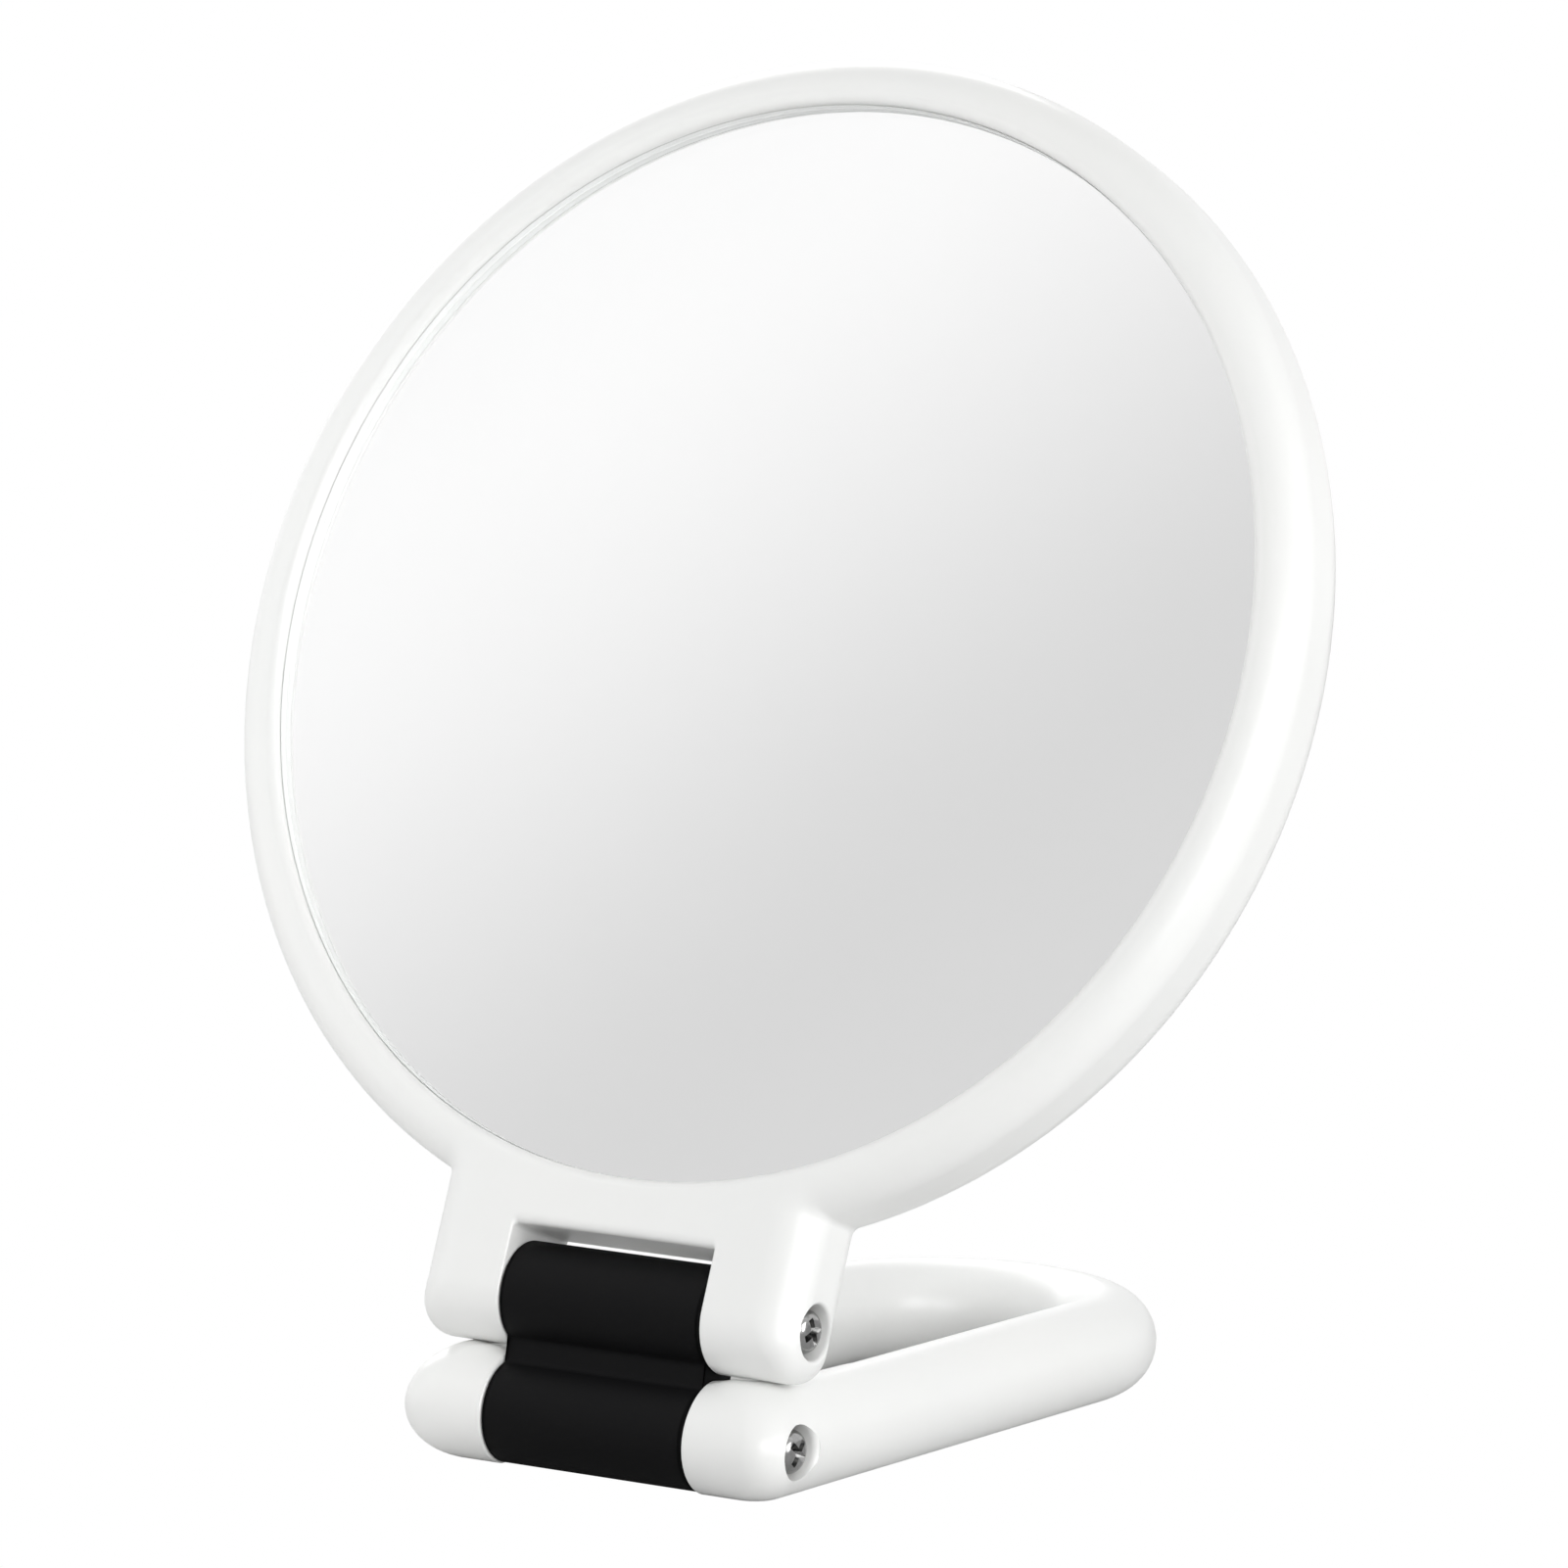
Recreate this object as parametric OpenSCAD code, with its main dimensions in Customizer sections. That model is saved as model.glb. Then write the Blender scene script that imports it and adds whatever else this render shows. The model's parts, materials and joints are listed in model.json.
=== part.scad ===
// Folding double-sided vanity mirror on a short hinge link and a U-shaped handle.
// The handle lies on the table as a foot, and the mirror leans back over it.
// +X is the mirror's right seen from the front, +Y runs back along the handle, +Z is up.
// The origin is on the table, in the middle of the area that the whole mirror covers.

/* [Mirror glasses] */
// Diameter of the flat glass and of the magnifying glass
glass_d = 130; // [110:1:160]
// Thickness of both glasses
glass_t = 2; // [1.8:0.1:2.4]
// Depth of the magnifying glass's hollow in its middle
hollow_depth = 3.8; // [2.5:0.1:4.6]
// Thickness of the silvering with its protective paint
silvering_t = 0.1; // [0.08:0.02:0.2]
// Thickness of the adhesive tape ring behind each glass
tape_t = 0.4; // [0.2:0.1:0.8]
// Play between the edge of a glass and the frame
glass_play = 0.35; // [0.2:0.05:0.6]

/* [Ring frame] */
// Width of the white rim around the glass
rim_w = 5.75; // [5.5:0.05:9]
// Thickness of the ring frame from front to back
frame_t = 12.4; // [11.8:0.1:13.4]
// Rounding of the rim's outer edge
rim_round = 4.2; // [2:0.1:4.6]
// Rounding of the lip around each glass
lip_round = 1.2; // [0.5:0.1:1.3]
// Depth of each glass below the face of the frame
glass_sink = 1.5; // [1.2:0.1:1.8]
// Width of the inner shelf that both glasses are stuck to
shelf_w = 6; // [4:0.5:10]

/* [Ears of the frame] */
// Width of each ear along the hinge axis
ear_w = 11.9; // [10:0.1:14]
// Rounding of the outer edges of the ears
ear_round = 3.7; // [2.5:0.1:4.6]
// Height of the rim's outer edge above the upper hinge axis
ear_drop = 7.8; // [7.4:0.1:12]
// Gap between the upper barrel and the bridge above it
slot_gap = 0.8; // [0.6:0.1:1.2]

/* [Hinge link] */
// Width of the two black barrels along their axes
barrel_w = 27.2; // [22:0.2:36]
// Thickness of the web between the barrels
web_t = 5.5; // [4:0.5:9]
// Set-back of the web from the ends of the barrels
web_inset = 0.8; // [0.4:0.1:2]
// Gap between the ears and the handle when they rest against each other
fold_gap = 0.8; // [0.4:0.1:1.5]

/* [Handle] */
// Diameter of the handle's round rod
rod_d = 12.5; // [11.5:0.1:14]
// Reach of the handle behind the lower hinge axis
handle_reach = 101; // [80:1:130]
// Overall width of the handle at its far end
loop_w = 49.3; // [40:0.1:60]
// Rounding of the handle's outer front corners
hub_round = 4.5; // [3:0.1:5]
// Depth of the flat along the underside that the mirror stands on
foot_depth = 0.15; // [0.15:0.05:0.4]

/* [Axles and screws] */
// Outer diameter of the steel axle tubes
axle_d = 5; // [4.4:0.1:5.4]
// Thread diameter of the screws
screw_d = 2.5; // [2:0.1:3]
// Length of the screws under the head
screw_l = 8; // [6:0.5:10]
// Diameter of the screw heads
head_d = 5.1; // [4.6:0.1:5.6]
// Height of the screw heads
head_h = 1.9; // [1.6:0.1:2.2]
// Gap around the screw heads in their counterbores
head_play = 0.65; // [0.3:0.05:0.9]
// Depth of the screw heads below the edge of their counterbores
head_sink = 0.4; // [0.3:0.1:1]

/* [Washers] */
// Diameter of the nylon friction washers
friction_d = 9.6; // [8:0.2:10.4]
// Thickness of the friction washers
friction_t = 0.75; // [0.6:0.05:1.2]
// Height of the disc springs under the screw heads
spring_h = 0.6; // [0.5:0.05:0.9]
// Thickness of the disc springs' steel
spring_t = 0.35; // [0.25:0.05:0.4]

/* [Pose] */
// Lean of the hinge link behind the vertical, where the ears rest against the handle
link_lean = 13; // [8:0.5:18]
// Lean of the mirror behind the vertical
head_lean = 20; // [8:1:45]

/* [Hidden] */
$fn = 96;

// Clearances and small edges
side_play = 0.15;
running_play = 0.05;
press_play = 0.02;
table_play = 0.05;
axle_end_gap = 0.3;
edge_break = 0.5;
seam_step = 0.02;
seam_overlap = 0.5;
overlap = 1;

// Fineness of the large round forms
ring_fn = 240;
slump_fn = 1440;

// Which side of the mirror a piece belongs to
left = -1;
right = 1;

// Heights along the ring's axis, from its middle to the flat glass
glass_r = glass_d / 2;
pocket_r = glass_r + glass_play;
rim_r = pocket_r + rim_w;
shelf_r = glass_r - shelf_w;
glass_face = frame_t / 2 - glass_sink;
glass_back = glass_face - glass_t;
silvering_back = glass_back - silvering_t;
shelf_face = silvering_back - tape_t;

// The slumped glass follows a sphere about slump_center
slump_r = (glass_r * glass_r + hollow_depth * hollow_depth) / (2 * hollow_depth);
slump_center = glass_face - hollow_depth + slump_r;

// Sizes along the hinge axes, measured from the middle of the mirror
ear_in = barrel_w / 2 + side_play;
ear_out = ear_in + ear_w;
ear_r = frame_t / 2;
washer_face = barrel_w / 2 + running_play;
washer_floor = washer_face + friction_t;
counterbore_r = head_d / 2 + head_play;
clamp_h = head_sink + head_h + spring_h;

// Handle: two arms that close in towards a half-round end
rod_r = rod_d / 2;
arm_x = ear_in + rod_r;
loop_r = loop_w / 2 - rod_r;
loop_y = handle_reach - rod_r - loop_r;
arm_angle = acos(loop_r / norm([arm_x, loop_y])) - atan2(loop_y, arm_x);
arm_l = loop_y * cos(arm_angle) + arm_x * sin(arm_angle);

// The ears of the handle are a hair fuller than its rod. Their counterbores open in the rounding
hub_r = rod_r + seam_step;
hub_out = arm_x + hub_r;
hub_mouth_r = max(0, counterbore_r - hub_r + hub_round);
arm_mouth = hub_out - hub_round + sqrt(hub_round * hub_round - hub_mouth_r * hub_mouth_r);

// Hinge link: barrels that clear the table, and ears that come to rest on the handle
barrel_r = rod_r - foot_depth - table_play;
axis_spacing = (ear_r + rod_r + fold_gap) / cos(link_lean);

// Heights of the frame's lower end above the upper hinge axis
ring_rise = rim_r + ear_drop;
slot_top = barrel_r + slot_gap;
bridge_top = ring_rise - glass_r;
ear_top = ring_rise - sqrt(glass_r * glass_r - ear_out * ear_out);

// Place of the lower hinge axis, with the handle's flat on the table
axis_y = (hub_r - handle_reach) / 2;
axis_z = rod_r - foot_depth;

module at_lower_axis() {
    translate([0, axis_y, axis_z]) children();
}

module on_link() {
    at_lower_axis() rotate([-link_lean, 0, 0]) children();
}

module at_upper_axis() {
    on_link() translate([0, 0, axis_spacing]) rotate([link_lean, 0, 0]) children();
}

module on_head() {
    at_upper_axis() rotate([-head_lean, 0, 0]) children();
}

// The ring's own axis: its +Z comes out of the flat glass
module on_ring() {
    on_head() translate([0, 0, ring_rise]) rotate([90, 0, 0]) children();
}

// The same for the magnifying side: its +Z comes out of the magnifying glass
module on_ring_back() {
    on_ring() mirror([0, 0, 1]) children();
}

// Lays what is drawn along +Z along the hinge axis, outwards on the given side
module outwards(side) {
    rotate([0, side * 90, 0]) children();
}

// Extrudes an outline of depth and height across the mirror's width
module across(width) {
    translate([-width / 2, 0, 0]) rotate([90, 0, 90]) linear_extrude(width) children();
}

// What a rounding takes off a square corner whose tip is at the origin
module corner_off(r) {
    translate([-r, -r]) difference() {
        square(r + overlap);
        circle(r = r);
    }
}

module tube(outer_r, inner_r, h) {
    difference() {
        cylinder(r = outer_r, h = h);
        translate([0, 0, -overlap]) cylinder(r = inner_r, h = h + 2 * overlap);
    }
}

// Half section of the frame's ear: its radius by its length outwards
module ear_profile() {
    difference() {
        square([ear_r, ear_w]);
        translate([ear_r, ear_w]) corner_off(ear_round);
        translate([ear_r, 0]) mirror([0, 1]) corner_off(edge_break);
    }
}

// Round lower end of the frame's ears, about the upper hinge axis
module ear_end(side) {
    outwards(side) translate([0, 0, ear_in]) rotate_extrude() ear_profile();
}

// Upright part of the frame's ears, which carries them into the ring
module ear_post(side) {
    linear_extrude(ear_top) for (face = [0, 1]) {
        mirror([side == left ? 1 : 0, 0]) mirror([0, face]) translate([ear_in, 0])
            mirror([1, -1]) ear_profile();
    }
}

// What an ear loses to its friction washer, its axle tube, and its screw with the disc spring
module ear_bores(mouth, side) {
    outwards(side) union() {
        cylinder(r = friction_d / 2 + running_play, h = washer_floor);
        cylinder(r = axle_d / 2 + running_play, h = mouth);
        translate([0, 0, mouth - clamp_h]) cylinder(r = counterbore_r, h = clamp_h + rod_d);
    }
}

module ring_body() {
    rotate_extrude($fn = ring_fn) difference() {
        translate([shelf_r, -frame_t / 2]) square([rim_r - shelf_r, frame_t]);
        for (face = [0, 1]) {
            mirror([0, face]) translate([rim_r, frame_t / 2]) corner_off(rim_round);
        }
    }
}

// Widens a glass pocket into a rounded lip
module lip() {
    translate([pocket_r, frame_t / 2]) mirror([1, 0]) corner_off(lip_round);
}

module flat_pocket() {
    rotate_extrude($fn = ring_fn) union() {
        translate([0, shelf_face]) square([pocket_r, frame_t]);
        lip();
    }
}

// The seat of the magnifying glass follows its curve
module hollow_pocket() {
    seat_r = slump_r + glass_t + silvering_t + tape_t;
    rotate_extrude($fn = ring_fn) union() {
        intersection() {
            translate([0, -frame_t / 2]) square([pocket_r, 2 * frame_t]);
            translate([0, slump_center]) circle(r = seat_r, $fn = slump_fn);
        }
        lip();
    }
}

module bridge() {
    across(2 * (ear_in + edge_break)) difference() {
        translate([-ear_r, slot_top]) square([2 * ear_r, bridge_top - slot_top]);
        for (face = [0, 1]) {
            mirror([face, 0]) translate([ear_r, slot_top]) mirror([0, 1]) corner_off(edge_break);
        }
    }
}

// One ear, bored before it joins the ring
module frame_ear(side) {
    difference() {
        union() {
            ear_post(side);
            ear_end(side);
        }
        ear_bores(ear_out, side);
    }
}

// Ring, bridge and ears are one moulding with a pocket for a glass on either side
module head_frame() {
    color("white") difference() {
        union() {
            on_ring() ring_body();
            on_head() bridge();
            for (side = [left, right]) {
                on_head() frame_ear(side);
            }
        }
        on_ring() flat_pocket();
        on_ring_back() hollow_pocket();
    }
}

module flat_disc(from, to) {
    translate([0, 0, from]) cylinder(r = glass_r, h = to - from, $fn = ring_fn);
}

module flat_glass() {
    color("lightcyan") on_ring() flat_disc(glass_back, glass_face);
}

module flat_silvering() {
    color("silver") on_ring() flat_disc(silvering_back, glass_back);
}

module flat_tape_ring() {
    color("dimgray") on_ring() difference() {
        flat_disc(shelf_face, silvering_back);
        cylinder(r = shelf_r, h = glass_face, $fn = ring_fn);
    }
}

// One layer of the slumped glass, between two depths below its hollow face
module slumped_layer(from, to, inner_r = 0) {
    rotate_extrude($fn = ring_fn) intersection() {
        translate([inner_r, -frame_t]) square([glass_r - inner_r, 2 * frame_t]);
        translate([0, slump_center]) difference() {
            circle(r = slump_r + to, $fn = slump_fn);
            circle(r = slump_r + from, $fn = slump_fn);
        }
    }
}

module magnifying_glass() {
    color("lightcyan") on_ring_back() slumped_layer(0, glass_t);
}

module magnifying_silvering() {
    color("silver") on_ring_back() slumped_layer(glass_t, glass_t + silvering_t);
}

module magnifying_tape_ring() {
    under_silver = glass_t + silvering_t;
    color("dimgray") on_ring_back() slumped_layer(under_silver, under_silver + tape_t, shelf_r);
}

module barrel() {
    rotate([0, 90, 0]) translate([0, 0, -barrel_w / 2]) rotate_extrude() difference() {
        square([barrel_r, barrel_w]);
        translate([barrel_r, barrel_w]) corner_off(edge_break);
        translate([barrel_r, 0]) mirror([0, 1]) corner_off(edge_break);
    }
}

// Two barrels with a set-back web between them, each bored for its axle tube
module hinge_link() {
    color([0.11, 0.11, 0.12]) on_link() difference() {
        union() {
            across(barrel_w - 2 * web_inset) translate([-web_t / 2, 0])
                square([web_t, axis_spacing]);
            for (height = [0, axis_spacing]) {
                translate([0, 0, height]) barrel();
            }
        }
        for (height = [0, axis_spacing]) {
            translate([0, 0, height]) outwards(right)
                cylinder(r = axle_d / 2 + press_play, h = 2 * barrel_w, center = true);
        }
    }
}

// Tube pressed into a barrel. Its ends are the journals that the ears turn on
module axle(mouth) {
    half = mouth - clamp_h - axle_end_gap;
    color("silver") outwards(right) translate([0, 0, -half])
        tube(axle_d / 2, screw_d / 2 + press_play, 2 * half);
}

module upper_axle() {
    at_upper_axis() axle(ear_out);
}

module lower_axle() {
    at_lower_axis() axle(arm_mouth);
}

module cross_recess() {
    wing = head_d * 0.6;
    slot = head_d * 0.15;
    depth = head_h * 0.6;
    for (turn = [0, 90]) {
        rotate([0, 0, turn + 20]) translate([-wing / 2, -slot / 2, head_h - depth])
            cube([wing, slot, depth + overlap]);
    }
}

// Pan-head screw with a cross recess. Its head is the width and height away from the mouth
module screw(mouth, side) {
    head_r = head_d / 2;
    color("gainsboro") outwards(side) translate([0, 0, mouth - head_sink - head_h]) difference() {
        rotate_extrude() union() {
            difference() {
                square([head_r, head_h]);
                translate([head_r, head_h]) corner_off(head_h * 0.7);
            }
            translate([0, -screw_l]) difference() {
                square([screw_d / 2, screw_l + head_h / 2]);
                translate([screw_d / 2, 0]) mirror([0, 1]) corner_off(screw_d / 6);
            }
        }
        cross_recess();
    }
}

module upper_left_screw() {
    at_upper_axis() screw(ear_out, left);
}

module upper_right_screw() {
    at_upper_axis() screw(ear_out, right);
}

module lower_left_screw() {
    at_lower_axis() screw(arm_mouth, left);
}

module lower_right_screw() {
    at_lower_axis() screw(arm_mouth, right);
}

// Coned spring washer, squeezed between the screw head and the counterbore's floor
module disc_spring(mouth, side) {
    outer_r = counterbore_r - running_play * 4;
    inner_r = screw_d / 2 + running_play * 3;
    low = press_play;
    high = spring_h - press_play;
    color("slategray") outwards(side) translate([0, 0, mouth - clamp_h]) rotate_extrude() polygon([
        [outer_r, low],
        [outer_r, low + spring_t],
        [inner_r, high],
        [inner_r, high - spring_t]
    ]);
}

module upper_left_disc_spring() {
    at_upper_axis() disc_spring(ear_out, left);
}

module upper_right_disc_spring() {
    at_upper_axis() disc_spring(ear_out, right);
}

module lower_left_disc_spring() {
    at_lower_axis() disc_spring(arm_mouth, left);
}

module lower_right_disc_spring() {
    at_lower_axis() disc_spring(arm_mouth, right);
}

// Nylon washer let into the inner face of an ear, against the end of a barrel
module friction_washer(side) {
    color("ivory") outwards(side) translate([0, 0, washer_face])
        tube(friction_d / 2, axle_d / 2 + running_play, friction_t);
}

module upper_left_friction_washer() {
    at_upper_axis() friction_washer(left);
}

module upper_right_friction_washer() {
    at_upper_axis() friction_washer(right);
}

module lower_left_friction_washer() {
    at_lower_axis() friction_washer(left);
}

module lower_right_friction_washer() {
    at_lower_axis() friction_washer(right);
}

// Straight arm of the handle, from the lower hinge axis to the start of the round end
module arm(side) {
    translate([side * arm_x, 0, 0]) rotate([0, 0, side * arm_angle]) rotate([-90, 0, 0])
        cylinder(r = rod_r, h = arm_l);
}

// The rod turns in towards the barrel as a round ear with the screw in its outer end
module hub(side) {
    outwards(side) translate([0, 0, ear_in]) rotate_extrude() difference() {
        square([hub_r, hub_out - ear_in]);
        translate([hub_r, hub_out - ear_in]) corner_off(hub_round);
        translate([hub_r, 0]) mirror([0, 1]) corner_off(edge_break);
    }
}

// The half-round far end is a hair thinner than the arms, so that each seam is a clean step.
// It starts inside each arm, so that the two stay joined at every size
module round_end() {
    start = arm_angle - asin(seam_overlap / loop_r);
    translate([0, loop_y, 0]) rotate([0, 0, start])
        rotate_extrude(angle = 180 - 2 * start, $fn = ring_fn)
            translate([loop_r, 0]) circle(r = rod_r - seam_step);
}

// One bent rod whose two front ends turn in towards the lower barrel as its ears
module handle_loop() {
    color("white") at_lower_axis() difference() {
        union() {
            round_end();
            for (side = [left, right]) {
                arm(side);
                hub(side);
            }
        }
        for (side = [left, right]) {
            ear_bores(arm_mouth, side);
        }
        translate([-loop_w, -rod_d, foot_depth - rod_r - rod_d])
            cube([2 * loop_w, 2 * handle_reach, rod_d]);
    }
}

head_frame();
flat_glass();
flat_silvering();
flat_tape_ring();
magnifying_glass();
magnifying_silvering();
magnifying_tape_ring();
hinge_link();
upper_axle();
lower_axle();
upper_left_screw();
upper_right_screw();
lower_left_screw();
lower_right_screw();
upper_left_disc_spring();
upper_right_disc_spring();
lower_left_disc_spring();
lower_right_disc_spring();
upper_left_friction_washer();
upper_right_friction_washer();
lower_left_friction_washer();
lower_right_friction_washer();
handle_loop();
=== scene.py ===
# %% [markdown]
# # A folding double-sided vanity mirror
#
# The object is a round mirror that stands on its own folded handle. A white moulded ring
# holds a flat glass in front and a hollow, magnifying glass behind. Two ears under the
# ring, a short black hinge link and the turned-in ends of a U-shaped handle make two
# stiff hinges. The mechanical model is already packed and fixed, so this file dresses it:
# it rebuilds what shows as finer meshes, gives every piece its finish, and lights it.

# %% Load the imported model
import json
import math

import bmesh
import bpy
from mathutils import Matrix, Vector
from mathutils.geometry import delaunay_2d_cdt


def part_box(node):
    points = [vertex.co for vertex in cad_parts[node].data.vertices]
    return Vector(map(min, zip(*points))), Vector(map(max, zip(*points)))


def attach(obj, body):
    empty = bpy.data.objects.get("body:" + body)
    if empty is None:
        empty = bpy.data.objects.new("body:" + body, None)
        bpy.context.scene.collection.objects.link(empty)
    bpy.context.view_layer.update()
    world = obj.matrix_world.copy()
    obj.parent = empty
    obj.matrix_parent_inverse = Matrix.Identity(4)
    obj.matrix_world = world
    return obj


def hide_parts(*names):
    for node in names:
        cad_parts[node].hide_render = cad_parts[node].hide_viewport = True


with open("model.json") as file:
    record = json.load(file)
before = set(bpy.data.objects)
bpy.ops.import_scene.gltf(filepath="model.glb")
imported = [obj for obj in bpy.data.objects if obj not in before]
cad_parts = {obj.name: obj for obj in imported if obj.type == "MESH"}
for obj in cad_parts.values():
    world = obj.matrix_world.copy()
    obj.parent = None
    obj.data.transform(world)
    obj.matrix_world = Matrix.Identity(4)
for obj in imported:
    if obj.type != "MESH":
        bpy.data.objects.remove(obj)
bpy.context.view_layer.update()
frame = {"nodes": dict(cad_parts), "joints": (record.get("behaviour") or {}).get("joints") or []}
nodes = frame["nodes"]
scene = bpy.context.scene
MM = 0.001
MM_PER_METRE = 1000

# %% [markdown]
# ## Where the hinges and the ring are
#
# Every moving piece hangs on one of two axes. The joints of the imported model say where
# these axes are, and the flat glass says how far the head leans, so nothing has to be
# measured twice. Each piece is then drawn in the space that suits it, in metres: X runs
# across, Y runs back and Z runs up from its own hinge axis. One matrix lays it in place.

# %% Read the axes and the lean from the frame
joint_at = {joint["name"]: Vector(joint["pos_m"]) for joint in frame["joints"]}
UPPER_AXIS = joint_at["upper_hinge"]
LOWER_AXIS = joint_at["lower_hinge"]
LOOKS_FORWARD = -0.5  # a face whose normal has less Y than this looks to the front


def facing(node):
    """The direction in which the front of a flat node looks."""
    total = Vector()
    for face in nodes[node].data.polygons:
        if face.normal.y < LOOKS_FORWARD:
            total += face.normal * face.area
    return total.normalized()


glass_normal = facing("flat_glass")
HEAD_LEAN = math.asin(glass_normal.z)
link_direction = UPPER_AXIS - LOWER_AXIS
LINK_LEAN = math.atan2(link_direction.y, link_direction.z)
AXIS_SPACING = link_direction.length
IN_HEAD = Matrix.Translation(UPPER_AXIS) @ Matrix.Rotation(-HEAD_LEAN, 4, "X")
IN_LINK = Matrix.Translation(LOWER_AXIS) @ Matrix.Rotation(-LINK_LEAN, 4, "X")
IN_HANDLE = Matrix.Translation(LOWER_AXIS)
print("the head leans", round(math.degrees(HEAD_LEAN), 2), "degrees")
print("the link leans", round(math.degrees(LINK_LEAN), 2), "degrees")

# %% [markdown]
# ## The driving sizes
#
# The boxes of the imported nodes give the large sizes, and the distances between axes give
# the middle ones. What a box can't tell, such as how far an edge is rounded, is named
# here in millimetres and turned into metres at once.

# %% Sizes of the ring and its glasses
def size(node):
    low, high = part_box(node)
    return high - low


RIM_R = size("head_frame").x / 2
GLASS_R = size("flat_glass").x / 2
GLASS_T = 2.0 * MM
ring_centre = (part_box("flat_glass")[0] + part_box("flat_glass")[1]) / 2 - UPPER_AXIS
RING_RISE = ring_centre.dot(Vector((0, math.sin(HEAD_LEAN), math.cos(HEAD_LEAN))))
GLASS_FACE = ring_centre.dot(glass_normal) + GLASS_T / 2
HALF_T = 6.2 * MM  # half the thickness of the frame
RIM_ROUND = 4.2 * MM
LIP_ROUND = 1.2 * MM
EDGE_PLAY = 0.05 * MM  # the photograph shows a hairline between glass and frame
SHELF_W = 6.0 * MM
POCKET_R = GLASS_R + EDGE_PLAY
SHELF_R = GLASS_R - SHELF_W
SILVERING_T = 0.1 * MM
TAPE_T = 0.4 * MM
HOLLOW_DEPTH = 3.8 * MM
SLUMP_R = (GLASS_R**2 + HOLLOW_DEPTH**2) / (2 * HOLLOW_DEPTH)
SLUMP_CENTRE = GLASS_FACE - HOLLOW_DEPTH + SLUMP_R
print("ring rise", round(RING_RISE / MM, 2), "and rim radius", round(RIM_R / MM, 2), "mm")
print("glass face", round(GLASS_FACE / MM, 2), "mm before the middle of the frame")

# %% Sizes of the hinges and the handle
SIDE_PLAY = 0.15 * MM
EAR_W = 11.9 * MM
SLOT_GAP = 1.05 * MM
ROD_R = 6.25 * MM
LOOP_W = 49.3 * MM
HUB_ROUND = 4.5 * MM
HUB_FLAT = 6.04 * MM  # from the middle of the arm to the outer end of the hub's bore
BORE_R = 3.2 * MM
AXLE_R = 2.55 * MM
WASHER_R = 4.85 * MM
WASHER_DEPTH = 0.65 * MM
HEAD_SINK = 0.4 * MM
HEAD_H = 1.9 * MM
SPRING_H = 0.6 * MM
BARREL_W = size("hinge_link").x
BARREL_R = (size("hinge_link").z - AXIS_SPACING * math.cos(LINK_LEAN)) / 2
EAR_IN = BARREL_W / 2 + SIDE_PLAY
EAR_OUT = EAR_IN + EAR_W
SLOT_TOP = BARREL_R + SLOT_GAP
FOOT_Z = -LOWER_AXIS.z
ARM_X = EAR_IN + ROD_R
LOOP_R = LOOP_W / 2 - ROD_R
LOOP_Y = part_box("handle_loop")[1].y - LOWER_AXIS.y - ROD_R - LOOP_R
WASHER_FLOOR = EAR_IN + WASHER_DEPTH
HUB_MOUTH = ARM_X + HUB_FLAT
CLAMP_H = HEAD_SINK + HEAD_H + SPRING_H
print("barrel radius", round(BARREL_R / MM, 3), "mm")
print("the loop starts", round(LOOP_Y / MM, 2), "mm behind the lower axis")

# %% [markdown]
# ## The camera
#
# The photograph was taken from the mirror's right and a little above, with a long lens,
# so that circles stay nearly elliptical and lines barely converge. Its place comes from
# matching the outline of the ring, the edge of the glass, the ends of both barrels and
# the handle, all at once. The camera is set by where it stands and how it is turned.

# %% Set the camera
CAMERA_AZIMUTH = math.radians(32.199)
CAMERA_DOWN = math.radians(6.223)
CAMERA_ROLL = math.radians(1.649)
CAMERA_FROM_LOWER_AXIS = Vector((484.797, -736.379, 170.236)) * MM
FOCAL_PIXELS = 8000
IMAGE_PIXELS = 1601
SENSOR_MM = 36
CLIP_START = 50 * MM


def make_camera():
    data = bpy.data.cameras.new("studio_camera")
    data.sensor_width = SENSOR_MM
    data.lens = SENSOR_MM * FOCAL_PIXELS / IMAGE_PIXELS
    data.clip_start = CLIP_START
    camera = bpy.data.objects.new("studio_camera", data)
    forward = Vector((
        -math.sin(CAMERA_AZIMUTH) * math.cos(CAMERA_DOWN),
        math.cos(CAMERA_AZIMUTH) * math.cos(CAMERA_DOWN),
        -math.sin(CAMERA_DOWN),
    ))
    right = Vector((math.cos(CAMERA_AZIMUTH), math.sin(CAMERA_AZIMUTH), 0))
    up = right.cross(forward)
    rolled_right = right * math.cos(CAMERA_ROLL) + up * math.sin(CAMERA_ROLL)
    rolled_up = up * math.cos(CAMERA_ROLL) - right * math.sin(CAMERA_ROLL)
    turned = Matrix((rolled_right, rolled_up, -forward)).transposed().to_4x4()
    camera.matrix_world = Matrix.Translation(LOWER_AXIS + CAMERA_FROM_LOWER_AXIS) @ turned
    scene.collection.objects.link(camera)
    scene.camera = camera
    return camera


camera = make_camera()
print("lens", round(camera.data.lens, 1), "mm")

# %% [markdown]
# ## Colour and material helpers
#
# Colours are written as the hex values that a paint chart or an image editor shows, and
# one function turns them into the linear values that the renderer mixes. One more small
# function adds a node with its settings and its links, so a material reads as a short
# list of what it is made of.

# %% Colour and node helpers
def colour(hex_code):
    """The linear colour of a hex code, by the sRGB curve."""
    channels = [int(hex_code[i : i + 2], 16) / 255 for i in (1, 3, 5)]
    linear = [c / 12.92 if c <= 0.04045 else ((c + 0.055) / 1.055) ** 2.4 for c in channels]
    return (*linear, 1.0)


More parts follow.
